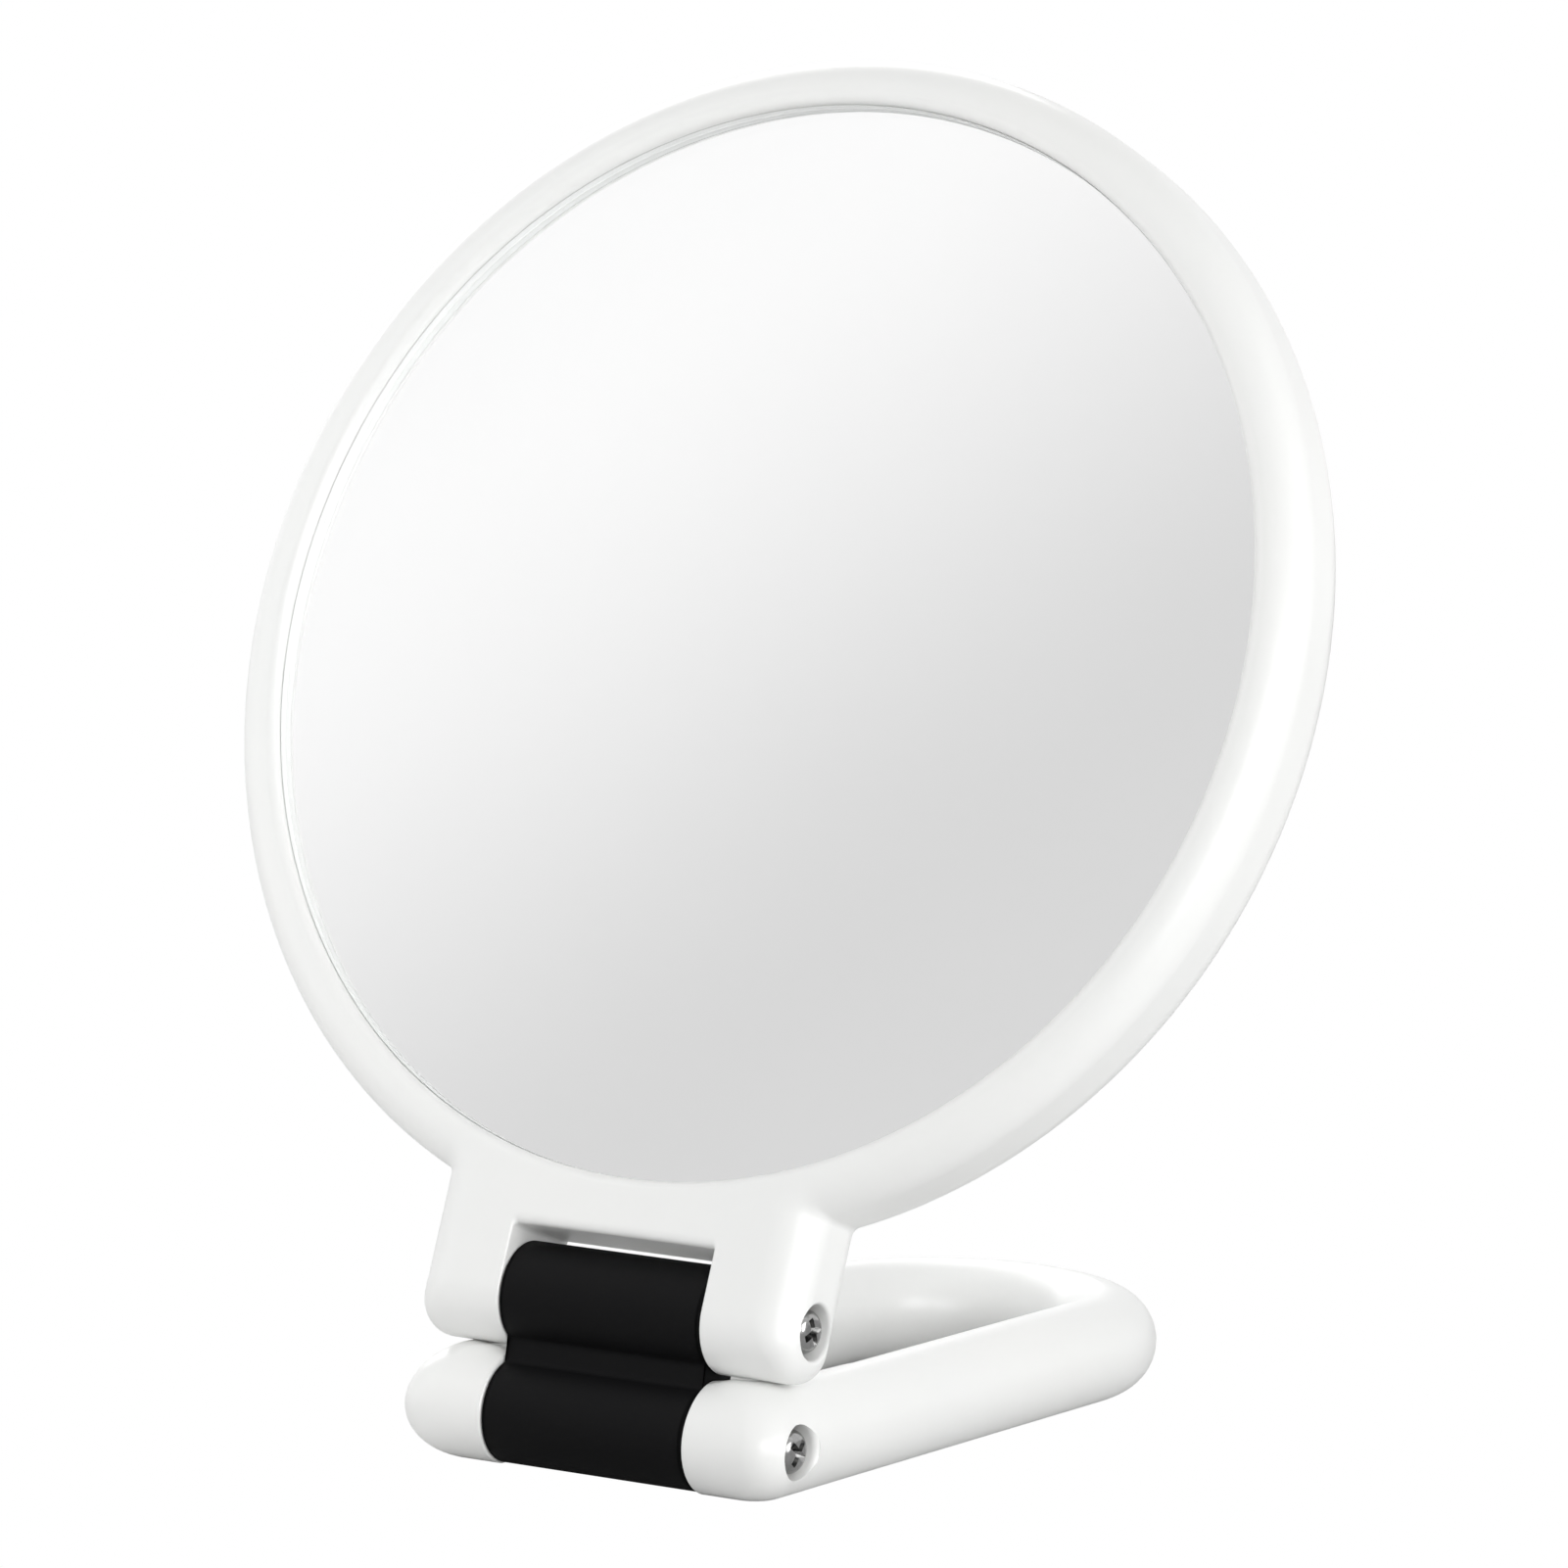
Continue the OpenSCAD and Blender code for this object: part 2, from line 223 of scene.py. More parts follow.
def add_node(tree, kind, settings=None, values=None, links=None):
    """Adds a node: settings are its properties, values its socket defaults, links its sources."""
    node = tree.nodes.new(kind)
    for name, value in (settings or {}).items():
        setattr(node, name, value)
    for socket, value in (values or {}).items():
        node.inputs[socket].default_value = value
    for socket, source in (links or {}).items():
        tree.links.new(source, node.inputs[socket])
    return node


def new_material(name):
    """An empty material, with its tree and the place of each point on the object in metres."""
    material = bpy.data.materials.new(name)
    material.use_nodes = True
    tree = material.node_tree
    tree.nodes.clear()
    where = add_node(tree, "ShaderNodeTexCoord").outputs["Object"]
    return material, tree, where


def pattern_scale(grain_mm):
    """The texture scale that makes the grains of a pattern so many millimetres wide."""
    return MM_PER_METRE / grain_mm


def wear_coat(piece, material):
    """Gives a piece one material in place of whatever it had."""
    piece.data.materials.clear()
    piece.data.materials.append(material)


print("half grey in linear light:", round(colour("#808080")[0], 3))

# %% [markdown]
# ## White ABS
#
# The ring and the handle are injection-moulded ABS, pigmented with titanium white. ABS
# comes out of a polished mould with a soft gloss: reflections of the lights stay visible
# but their edges blur. Two things keep it from looking like paint: the colour drifts very
# slightly where the melt flowed and cooled, and the skin has a faint ripple, little more
# than a millimetre wide. ABS has an index of refraction of about 1.54 and a roughness
# near 0.3 when moulded in a polished tool.

# %% White ABS
ABS_IOR = 1.54


def make_white_abs():
    material, tree, where = new_material("white_moulded_abs")
    flow_mm = 35
    ripple_mm = 1.4
    flow = add_node(
        tree, "ShaderNodeTexNoise",
        values={"Scale": pattern_scale(flow_mm), "Detail": 2.0, "Roughness": 0.4},
        links={"Vector": where},
    )
    tint = add_node(
        tree, "ShaderNodeMix", {"data_type": "RGBA"},
        values={"A": colour("#F4F4F2"), "B": colour("#F0F1F0")},
        links={"Factor": flow.outputs["Fac"]},
    )
    gloss = add_node(
        tree, "ShaderNodeMapRange",
        values={"To Min": 0.26, "To Max": 0.36},
        links={"Value": flow.outputs["Fac"]},
    )
    ripple = add_node(
        tree, "ShaderNodeTexNoise",
        values={"Scale": pattern_scale(ripple_mm), "Detail": 1.0},
        links={"Vector": where},
    )
    skin = add_node(
        tree, "ShaderNodeBump",
        values={"Strength": 0.04, "Distance": 0.05 * MM},
        links={"Height": ripple.outputs["Fac"]},
    )
    surface = add_node(
        tree, "ShaderNodeBsdfPrincipled",
        values={"IOR": ABS_IOR},
        links={
            "Base Color": tint.outputs["Result"],
            "Roughness": gloss.outputs["Result"],
            "Normal": skin.outputs["Normal"],
        },
    )
    add_node(tree, "ShaderNodeOutputMaterial", links={"Surface": surface.outputs[0]})
    return material


white_abs = make_white_abs()
print("made", white_abs.name)

# %% [markdown]
# ## Black ABS
#
# The link is the same plastic with carbon black, from a spark-eroded mould. The sparks
# leave tiny craters about 0.1 mm wide, which scatter the gloss: the link shows almost no
# reflection even under a white ceiling. Craters that small don't show in the picture, so
# they are drawn three times as coarse.
#
# One pattern is enough here, and for most of the pieces still to come: it mixes two tones,
# and it may also carry the roughness and the relief. So the recipe becomes a function.

# %% Black ABS
def grained_material(name, grain_mm, tones, values, rough=None, relief=None,
                     texture="Noise", detail=None):
    """
    A material with one pattern. It mixes two tones and, where asked, leads the roughness
    from one value to another, and raises the skin with a strength and a depth. The values
    are those of the surface, and the detail adds to the settings of the texture.
    """
    material, tree, where = new_material(name)
    grain = add_node(
        tree, "ShaderNodeTex" + texture,
        values={"Scale": pattern_scale(grain_mm), **(detail or {})},
        links={"Vector": where},
    ).outputs[0]
    tone = add_node(
        tree, "ShaderNodeMix", {"data_type": "RGBA"},
        values={"A": colour(tones[0]), "B": colour(tones[1])},
        links={"Factor": grain},
    )
    links = {"Base Color": tone.outputs["Result"]}
    if rough:
        polish = add_node(
            tree, "ShaderNodeMapRange",
            values={"To Min": rough[0], "To Max": rough[1]},
            links={"Value": grain},
        )
        links["Roughness"] = polish.outputs["Result"]
    if relief:
        skin = add_node(
            tree, "ShaderNodeBump",
            values={"Strength": relief[0], "Distance": relief[1]},
            links={"Height": grain},
        )
        links["Normal"] = skin.outputs["Normal"]
    surface = add_node(tree, "ShaderNodeBsdfPrincipled", values=values, links=links)
    add_node(tree, "ShaderNodeOutputMaterial", links={"Surface": surface.outputs[0]})
    return material


black_abs = grained_material(
    "black_textured_abs", grain_mm=0.3, tones=("#080809", "#0E0E0F"),
    values={"IOR": ABS_IOR, "Roughness": 0.6, "Specular IOR Level": 0.1},
    relief=(0.2, 0.02 * MM), detail={"Detail": 3.0, "Roughness": 0.6},
)
print("made", black_abs.name)

# %% [markdown]
# ## Glass and its silvering
#
# A mirror is two things: clear float glass that is smooth enough to see a face in, and a
# thin film of silver on its back, sealed with paint. Keeping them apart gives the real
# look at the rim, where the glass shows its thickness. Float glass has an index of
# refraction of 1.52 and no roughness. Light from a lamp can't find its way through a
# refracting face when it is traced backwards, so shadow rays and the rays of soft light
# pass straight on, and the white plastic and the ground edge behind the glass stay lit.

# %% Glass and silvering
GLASS_IOR = 1.52


def make_glass():
    material, tree, where = new_material("clear_float_glass")
    haze_mm = 60
    haze = add_node(
        tree, "ShaderNodeTexNoise",
        values={"Scale": pattern_scale(haze_mm), "Detail": 2.0},
        links={"Vector": where},
    )
    polish = add_node(
        tree, "ShaderNodeMapRange",
        values={"To Min": 0.0, "To Max": 0.004},
        links={"Value": haze.outputs["Fac"]},
    )
    glass = add_node(
        tree, "ShaderNodeBsdfPrincipled",
        values={
            "Base Color": colour("#FEFEFE"), "IOR": GLASS_IOR, "Transmission Weight": 1.0,
        },
        links={"Roughness": polish.outputs["Result"]},
    )
    ray = add_node(tree, "ShaderNodeLightPath")
    soft_light = add_node(
        tree, "ShaderNodeMath", {"operation": "MAXIMUM"},
        links={0: ray.outputs["Is Shadow Ray"], 1: ray.outputs["Is Diffuse Ray"]},
    )
    straight_on = add_node(tree, "ShaderNodeBsdfTransparent")
    surface = add_node(
        tree, "ShaderNodeMixShader",
        links={0: soft_light.outputs["Value"], 1: glass.outputs["BSDF"], 2: straight_on.outputs[0]},
    )
    add_node(tree, "ShaderNodeOutputMaterial", links={"Surface": surface.outputs[0]})
    return material


float_glass = make_glass()
# The bath that lays down the silver leaves wide, faint clouds in the film
silver_film = grained_material(
    "silver_film", grain_mm=25, tones=("#FCFCFC", "#FAFAFA"),
    values={"Metallic": 1.0, "Roughness": 0.0}, detail={"Detail": 3.0},
)
# The edge is seamed on a wet belt, whose fine scratches turn it into a milky white rim.
# They are drawn coarser than they are, so that they still show
ground_edge = grained_material(
    "ground_glass_edge", grain_mm=0.4, tones=("#F7F8F7", "#F0F2F1"),
    values={"IOR": GLASS_IOR, "Roughness": 0.5}, detail={"Detail": 2.0},
)
print("made", float_glass.name, silver_film.name, ground_edge.name)

# %% [markdown]
# ## Mesh helpers
#
# Most pieces are grids: a row of points for each step along the piece, and a band of
# quads between each row and the next. Where two grids share a line of points, merging
# the doubles welds them into one closed skin, which is what a moulding is.

# %% Grids, bands and finished pieces
WELD_WITHIN = 0.002 * MM
SHARP_ANGLE = 35  # degrees between two faces, above which their shared edge stays crisp
FLAT_FACE_WEIGHT = 90  # of 100: how much large faces bend the shading their way


def add_row(mesh, points):
    return [mesh.verts.new(point) for point in points]


def circle(radius, height, turns):
    return [(radius * math.cos(a), radius * math.sin(a), height) for a in turns]


def full_turn(steps):
    return [2 * math.pi * i / steps for i in range(steps)]


def skin_rows(mesh, rows, closed=False):
    """Quads between each row of points and the next, and round each row if it is closed."""
    for low, high in zip(rows, rows[1:]):
        count = len(low) if closed else len(low) - 1
        for i in range(count):
            j = (i + 1) % len(low)
            corners = [low[i], low[j], high[j], high[i]]
            distinct = list(dict.fromkeys(corners))
            if len(distinct) > 2:
                mesh.faces.new(distinct)


def fill_flat(mesh, loop):
    """Fills an upright flat outline, which may be hollow, with even triangles."""
    points = [Vector((vert.co.x, vert.co.z)) for vert in loop]
    keep_inside, any_distance = 1, 0
    flat = delaunay_2d_cdt(points, [], [list(range(len(points)))], keep_inside, any_distance)
    triangles, sources = flat[2], flat[3]
    for triangle in triangles:
        mesh.faces.new([loop[sources[corner][0]] for corner in triangle])


def split_large_faces(mesh):
    """Cuts each face of more than four corners into triangles."""
    large = [face for face in mesh.faces if len(face.verts) > 4]
    bmesh.ops.triangulate(mesh, faces=large)


def weld(mesh, distance=WELD_WITHIN):
    """Merges points that coincide, and returns how many edges are still open."""
    bmesh.ops.remove_doubles(mesh, verts=mesh.verts, dist=distance)
    bmesh.ops.recalc_face_normals(mesh, faces=mesh.faces)
    open_edges = [edge for edge in mesh.edges if not edge.is_manifold]
    return len(open_edges)


def make_piece(name, mesh, place):
    """Turns a bmesh into an object in the frame, with its sharp edges kept crisp."""
    mesh.transform(place)
    data = bpy.data.meshes.new(name)
    mesh.to_mesh(data)
    mesh.free()
    data.shade_smooth()
    data.set_sharp_from_angle(angle=math.radians(SHARP_ANGLE))
    piece = bpy.data.objects.new(name, data)
    scene.collection.objects.link(piece)
    return piece


def cut_away(piece, cutter):
    """Takes the cutter out of the piece, and then forgets the cutter."""
    cut = piece.modifiers.new("cut", "BOOLEAN")
    cut.operation = "DIFFERENCE"
    cut.solver = "EXACT"
    cut.object = cutter
    bpy.context.view_layer.update()
    evaluated = piece.evaluated_get(bpy.context.evaluated_depsgraph_get())
    result = bpy.data.meshes.new_from_object(evaluated)
    piece.modifiers.remove(cut)
    old = piece.data
    piece.data = result
    bpy.data.meshes.remove(old)
    bpy.data.objects.remove(cutter, do_unlink=True)


def even_shading(piece, smooth_angle=SHARP_ANGLE):
    """Lets large flat faces win over their rounded borders, as they do on a moulding."""
    piece.data.set_sharp_from_angle(angle=math.radians(smooth_angle))
    weighted = piece.modifiers.new("even_shading", "WEIGHTED_NORMAL")
    weighted.keep_sharp = True
    weighted.weight = FLAT_FACE_WEIGHT


def lathe(name, profile, place, segments=96):
    """Turns a profile of (height, radius) about Z."""
    mesh = bmesh.new()
    rows = []
    for height, radius in profile:
        if radius == 0:
            rows.append([mesh.verts.new((0, 0, height))] * segments)
        else:
            rows.append(add_row(mesh, circle(radius, height, full_turn(segments))))
    skin_rows(mesh, rows, closed=True)
    bmesh.ops.recalc_face_normals(mesh, faces=mesh.faces)
    return make_piece(name, mesh, place)


print("points closer than", WELD_WITHIN / MM, "mm are welded")

# %% [markdown]
# ## The ring frame with its ears
#
# The ring, the bridge under it and both ears are one moulding, and its edges run into
# each other without a break: the rounding of the rim slides through a soft valley into
# the rounding of the ears. Joining a ring and two blocks would leave a hard crease there.
# So the skin is swept instead: a rounded edge section travels along the outline, up one
# ear, through the valley, round the ring and down the other ear. The flat faces between
# the outline and the glass are then filled in, and the ends of the ears are turned.

# %% The rounded edge section
# The degrees of a rounding lie closer at its ends, where the flat faces take over
EDGE_TURNS = [0, 1.5, 5, 10, 16, 23, 31, 39, 47, 55, 63, 70, 77, 83, 88, 90]
# Each edge is a reach across the face, and a depth in front and behind
RIM_EDGE = (RIM_ROUND, RIM_ROUND, RIM_ROUND)
EAR_EDGE = (5.2 * MM, 4.2 * MM, 4.2 * MM)
EAR_TIP_EDGE = (2.8 * MM, 2.8 * MM, 2.8 * MM)
SLOT_EDGE = (0.3 * MM, 0.3 * MM, 0.3 * MM)
BRIDGE_EDGE = (1.2 * MM, 1.0 * MM, 2.4 * MM)
VALLEY_R = 0.9 * MM
SLOT_CORNER_R = 0.6 * MM


def blend_edges(first, second, share):
    smooth = share * share * (3 - 2 * share)
    return tuple(a + (b - a) * smooth for a, b in zip(first, second))


def quarter_section(across, deep):
    """Inset from the side and depth behind the face, round one rounded edge."""
    turns = [math.radians(turn) for turn in EDGE_TURNS]
    return [(across * (1 - math.sin(a)), deep * (1 - math.cos(a))) for a in turns]


def edge_section(edge):
    """Inset from the outline and place behind the middle, from the front to the back."""
    across, front_deep, back_deep = edge
    front = [(inset, -HALF_T + depth) for inset, depth in quarter_section(across, front_deep)]
    back = [(inset, HALF_T - depth) for inset, depth in quarter_section(across, back_deep)]
    return front + [(0, 0)] + back[::-1]


def swept_row(mesh, point, outward, edge):
    """One row of the skin: the edge section at a point of the outline."""
    x, z = point
    nx, nz = outward
    return add_row(mesh, [(x - nx * inset, y, z - nz * inset) for inset, y in edge_section(edge)])


print("points across the rim's skin:", len(edge_section(RIM_EDGE)))

# %% The outline of ring and ears, as stations for the sweep
RING_STEPS = 216
EAR_STEPS = 8
VALLEY_STEPS = 14
SLOT_STEPS = 4
SLOT_CORNER_STEPS = 12
valley_z = RING_RISE - math.sqrt((RIM_R + VALLEY_R) ** 2 - (EAR_OUT + VALLEY_R) ** 2)
valley_angle = math.asin((EAR_OUT + VALLEY_R) / (RIM_R + VALLEY_R))
ring_angles = [
    valley_angle + (2 * math.pi - 2 * valley_angle) * i / RING_STEPS for i in range(RING_STEPS + 1)
]


def right_ear_stations():
    """From the hinge axis up the outer side of the right ear, through the valley."""
    stations = []
    for i in range(EAR_STEPS + 1):
        stations.append(((EAR_OUT, valley_z * (i / EAR_STEPS)), (1, 0), EAR_EDGE))
    for i in range(1, VALLEY_STEPS):
        share = i / VALLEY_STEPS
        turn = math.pi - (math.pi / 2 - valley_angle) * share
        direction = (math.cos(turn), math.sin(turn))
        point = (
            EAR_OUT + VALLEY_R + VALLEY_R * direction[0],
            valley_z + VALLEY_R * direction[1],
        )
        edge = blend_edges(EAR_EDGE, RIM_EDGE, share)
        stations.append((point, (-direction[0], -direction[1]), edge))
    return stations


def ring_stations():
    stations = []
    for angle in ring_angles:
        outward = (math.sin(angle), -math.cos(angle))
        point = (RIM_R * outward[0], RING_RISE + RIM_R * outward[1])
        stations.append((point, outward, RIM_EDGE))
    return stations


def slot_stations():
    """From the hinge axis up the inner side of the right ear to the middle of the bridge."""
    top = SLOT_TOP - SLOT_CORNER_R
    stations = []
    for i in range(SLOT_STEPS + 1):
        stations.append(((EAR_IN, top * i / SLOT_STEPS), (-1, 0), SLOT_EDGE))
    for i in range(1, SLOT_CORNER_STEPS + 1):
        turn = math.pi / 2 * i / SLOT_CORNER_STEPS
        direction = (math.cos(turn), math.sin(turn))
        point = (
            EAR_IN - SLOT_CORNER_R + SLOT_CORNER_R * direction[0],
            top + SLOT_CORNER_R * direction[1],
        )
        edge = blend_edges(SLOT_EDGE, BRIDGE_EDGE, i / SLOT_CORNER_STEPS)
        stations.append((point, (-direction[0], -direction[1]), edge))
    stations.append(((0, SLOT_TOP), (0, -1), BRIDGE_EDGE))
    return stations


def mirrored(stations):
    return [((-x, z), (-nx, nz), edge) for (x, z), (nx, nz), edge in reversed(stations)]


outer_stations = right_ear_stations() + ring_stations() + mirrored(right_ear_stations())
inner_stations = slot_stations() + mirrored(slot_stations())[1:]
print("stations:", len(outer_stations), "round the outside and", len(inner_stations), "in the slot")

# %% The turned ends of the ears
EAR_TIP_STEPS = 36


def ear_tip(mesh, side):
    """Half a turn of the ear's section about the hinge axis, from the front to the back."""
    rows = []
    inner = [(EAR_IN + inset, HALF_T - depth) for inset, depth in quarter_section(*SLOT_EDGE[:2])]
    for i in range(EAR_TIP_STEPS + 1):
        turn = math.pi * i / EAR_TIP_STEPS
        across, deep, _ = blend_edges(EAR_EDGE, EAR_TIP_EDGE, math.sin(turn))
        rounding = quarter_section(across, deep)
        outer = [(EAR_OUT - inset, HALF_T - depth) for inset, depth in rounding]
        section = [(EAR_IN, 0)] + inner[::-1] + outer + [(EAR_OUT, 0)]
        points = []
        for x, radius in section:
            points.append((side * x, -radius * math.cos(turn), -radius * math.sin(turn)))
        rows.append(add_row(mesh, points))
    skin_rows(mesh, rows)


print("rows round an ear's end:", EAR_TIP_STEPS + 1)

# %% The pockets and the shelf between the glasses
def slump_depth(radius, behind):
    """Depth of a curved layer of the magnifying side, behind the hollow face."""
    return SLUMP_CENTRE - math.sqrt((SLUMP_R + behind) ** 2 - radius**2)


def pocket_profile():
    """(radius, y) from the front face, over both lips and the shelf, to the back face."""
    lip = [(POCKET_R + inset, depth) for inset, depth in quarter_section(LIP_ROUND, LIP_ROUND)]
    shelf_face = GLASS_FACE - GLASS_T - SILVERING_T - TAPE_T
    behind_hollow = GLASS_T + SILVERING_T + TAPE_T
    profile = [(radius, -HALF_T + depth) for radius, depth in lip]
    profile.append((POCKET_R, -shelf_face))
    profile.append((SHELF_R, -shelf_face))
    for share in (0, 0.5, 1):
        radius = SHELF_R + (POCKET_R - SHELF_R) * share
        profile.append((radius, slump_depth(radius, behind_hollow)))
    profile += [(radius, HALF_T - depth) for radius, depth in reversed(lip)]
    return profile


def ring_point(radius, angle, y):
    return (radius * math.sin(angle), y, RING_RISE - radius * math.cos(angle))


print("points across the pockets and the shelf:", len(pocket_profile()))

# %% Put the moulding together
BOTTOM_STEPS = 28


def make_head_frame():
    mesh = bmesh.new()
    outer_rows = [swept_row(mesh, *station) for station in outer_stations]
    inner_rows = [swept_row(mesh, *station) for station in inner_stations]
    skin_rows(mesh, outer_rows)
    skin_rows(mesh, inner_rows)
    for side in (-1, 1):
        ear_tip(mesh, side)
    bottom_angles = [
        -valley_angle + 2 * valley_angle * i / BOTTOM_STEPS for i in range(1, BOTTOM_STEPS)
    ]
    pocket_rows = []
    for angle in ring_angles + bottom_angles:
        pocket_rows.append(add_row(mesh, [ring_point(r, angle, y) for r, y in pocket_profile()]))
    skin_rows(mesh, pocket_rows + [pocket_rows[0]])
    first = len(right_ear_stations())
    for end in (0, -1):
        on_ring = [row[end] for row in outer_rows[first : first + RING_STEPS + 1]]
        on_lip = [row[end] for row in pocket_rows]
        skin_rows(mesh, [on_ring, on_lip[: RING_STEPS + 1]])
        below_left = [row[end] for row in outer_rows[first + RING_STEPS :]]
        below_right = [row[end] for row in outer_rows[: first + 1]]
        slot = [row[end] for row in reversed(inner_rows)]
        lip_below = [on_lip[0]] + list(reversed(on_lip[RING_STEPS + 1 :])) + [on_lip[RING_STEPS]]
        fill_flat(mesh, below_left + slot + below_right + lip_below)
    print("open edges of the ring frame:", weld(mesh))
    return make_piece("ring_frame", mesh, IN_HEAD)


ring_frame = make_head_frame()
print("ring frame faces:", len(ring_frame.data.polygons))

# %% [markdown]
# ## The bores of the ears
#
# Each ear is bored from both sides: a shallow pocket for the nylon washer inside, a
# narrow bore for the axle tube, and a wide counterbore for the screw outside. One turned
# cutter has the shape of all three, with a small flare at the mouth, because a mould
# never leaves a knife edge. A boolean takes it away from the finished skin.

# %% Bore the ears of the ring frame
QUARTER_TURNS = (0, 22.5, 45, 67.5, 90)
CUT_INSIDE = 2 * MM
CUT_BEYOND = 4 * MM
FLARE_SLOPE = 1.6  # how much longer than wide a flare is
EAR_FLARE = 0.4 * MM


def bore_cutter(name, mouth, flare, centre, side):
    spring_seat = mouth - CLAMP_H
    flare_length = FLARE_SLOPE * flare
    flare_start = mouth - flare_length
    profile = [
        (EAR_IN - CUT_INSIDE, 0),
        (EAR_IN - CUT_INSIDE, WASHER_R),
        (WASHER_FLOOR, WASHER_R),
        (WASHER_FLOOR, AXLE_R),
        (spring_seat, AXLE_R),
        (spring_seat, BORE_R),
    ]
    for turn in QUARTER_TURNS:
        angle = math.radians(turn)
        height = flare_start + flare_length * math.sin(angle)
        profile.append((height, BORE_R + flare * (1 - math.cos(angle))))
    beyond = mouth + CUT_BEYOND
    profile += [(beyond, BORE_R + flare), (beyond, 0)]
    outwards = Matrix.Translation(centre) @ Matrix.Rotation(side * math.pi / 2, 4, "Y")
    return lathe(name, profile, outwards)


for side in (-1, 1):
    cut_away(ring_frame, bore_cutter("ear_cutter", EAR_OUT, EAR_FLARE, UPPER_AXIS, side))
even_shading(ring_frame)
wear_coat(ring_frame, white_abs)
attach(ring_frame, "head")
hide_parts("head_frame")
print("bored ring frame faces:", len(ring_frame.data.polygons))

# %% [markdown]
# ## The handle
#
# The handle is one thick rod, bent into a U whose two ends turn in sharply towards the
# hinge. It is drawn like a road between two kerbs: for each step an inner and an outer
# point on the plan, with an oval of that width and the rod's height standing on them.
# Round the tight corner the inner kerb stands still while the outer one swings past it,
# which gives the full, squared shoulder of the moulding without a seam. The hubs also have
# a low crown: their top swells towards the ear above it, so that hardly a gap stays open.

# %% The plan of one arm, as pairs of inner and outer points
HUB_EDGE = 0.3 * MM
HUB_FRONT_STEPS = 8
HUB_CORNER_STEPS = 20
SHOULDER_STEPS = 6
ARM_STEPS = 16
ARM_AFTER_SHOULDER = 0.8 * MM
LOOP_STEPS = 60
arm_angle = math.acos(LOOP_R / math.hypot(ARM_X, LOOP_Y)) - math.atan2(LOOP_Y, ARM_X)
arm_length = LOOP_Y * math.cos(arm_angle) + ARM_X * math.sin(arm_angle)
along_arm = Vector((-math.sin(arm_angle), math.cos(arm_angle)))
across_arm = Vector((math.cos(arm_angle), math.sin(arm_angle)))
arm_start = Vector((ARM_X, 0))


def hub_stations():
    """Inner point, outer point and half height, from the ear's inner face round the shoulder."""
    stations = []
    pivot = Vector((EAR_IN, ROD_R))
    for turn in QUARTER_TURNS:
        angle = math.radians(turn)
        reach = ROD_R - HUB_EDGE * (1 - math.sin(angle))
        outer = Vector((EAR_IN + HUB_EDGE * (1 - math.cos(angle)), -reach))
        stations.append((pivot, outer, reach))
    corner_y = -ROD_R + HUB_ROUND
    corner_x = ARM_X + (ROD_R - HUB_ROUND - corner_y * across_arm.y) / across_arm.x
    corner = Vector((corner_x, corner_y))
    front_from = EAR_IN + HUB_EDGE
    for i in range(1, HUB_FRONT_STEPS):
        x = front_from + (corner.x - front_from) * i / HUB_FRONT_STEPS
        stations.append((pivot, Vector((x, -ROD_R)), ROD_R))
    for i in range(HUB_CORNER_STEPS + 1):
        angle = -math.pi / 2 + (math.pi / 2 + arm_angle) * i / HUB_CORNER_STEPS
        outer = corner + HUB_ROUND * Vector((math.cos(angle), math.sin(angle)))
        stations.append((pivot, outer, ROD_R))
    shoulder = stations[-1][1]
    square_at = (pivot - shoulder).dot(along_arm)
    for i in range(1, SHOULDER_STEPS + 1):
        outer = shoulder + along_arm * square_at * i / SHOULDER_STEPS
        stations.append((pivot, outer, ROD_R))
    return stations


def arm_stations():
    stations = []
    start = ROD_R + ARM_AFTER_SHOULDER
    for i in range(ARM_STEPS):
        middle = arm_start + along_arm * (start + (arm_length - start) * i / ARM_STEPS)
        stations.append((middle - across_arm * ROD_R, middle + across_arm * ROD_R, ROD_R))
    return stations


def loop_stations():
    """The half-round far end, from the right arm to the left arm."""
    stations = []
    centre = Vector((0, LOOP_Y))
    for i in range(LOOP_STEPS + 1):
        angle = arm_angle + (math.pi - 2 * arm_angle) * i / LOOP_STEPS
        direction = Vector((math.cos(angle), math.sin(angle)))
        inner, outer = (centre + direction * (LOOP_R + way * ROD_R) for way in (-1, 1))
        stations.append((inner, outer, ROD_R))
    return stations


print("the arms lean in by", round(math.degrees(arm_angle), 2), "degrees")

# %% Loft the handle
ROUND_STEPS = 64
CROWN_IN = 0.5 * MM
CROWN_OUT = 0.95 * MM
CROWN_GROWS_OVER = 3.5 * MM
CROWN_FADES_FROM = 1 * MM
CROWN_FADES_TO = 14 * MM
CROWN_SLANT = 0.7  # how much of the crown is missing on the outer side of the rod


def ease(value, start, end):
    """0 before the start, 1 after the end, and a smooth step between them."""
    share = min(1, max(0, (value - start) / (end - start)))
    return share * share * (3 - 2 * share)


def hub_crown(middle):
    """How much the top of a hub swells above the plain rod."""
    outwards = ease(abs(middle.x), EAR_IN, EAR_IN + CROWN_GROWS_OVER)
    along = 1 - ease(middle.y, CROWN_FADES_FROM, CROWN_FADES_TO)
    return (CROWN_IN + (CROWN_OUT - CROWN_IN) * outwards) * along


def oval_row(mesh, inner, outer, half_height):
    middle = (inner + outer) / 2
    half = (outer - inner) / 2
    points = []
    for angle in full_turn(ROUND_STEPS):
        plan = middle + half * math.cos(angle)
        rise = half_height * math.sin(angle)
        upper = max(0, math.sin(angle)) ** 2 * (1 - CROWN_SLANT * max(0, math.cos(angle)))
        rise += hub_crown(middle) * upper
        points.append((plan.x, plan.y, max(rise, FOOT_Z)))
    return add_row(mesh, points)


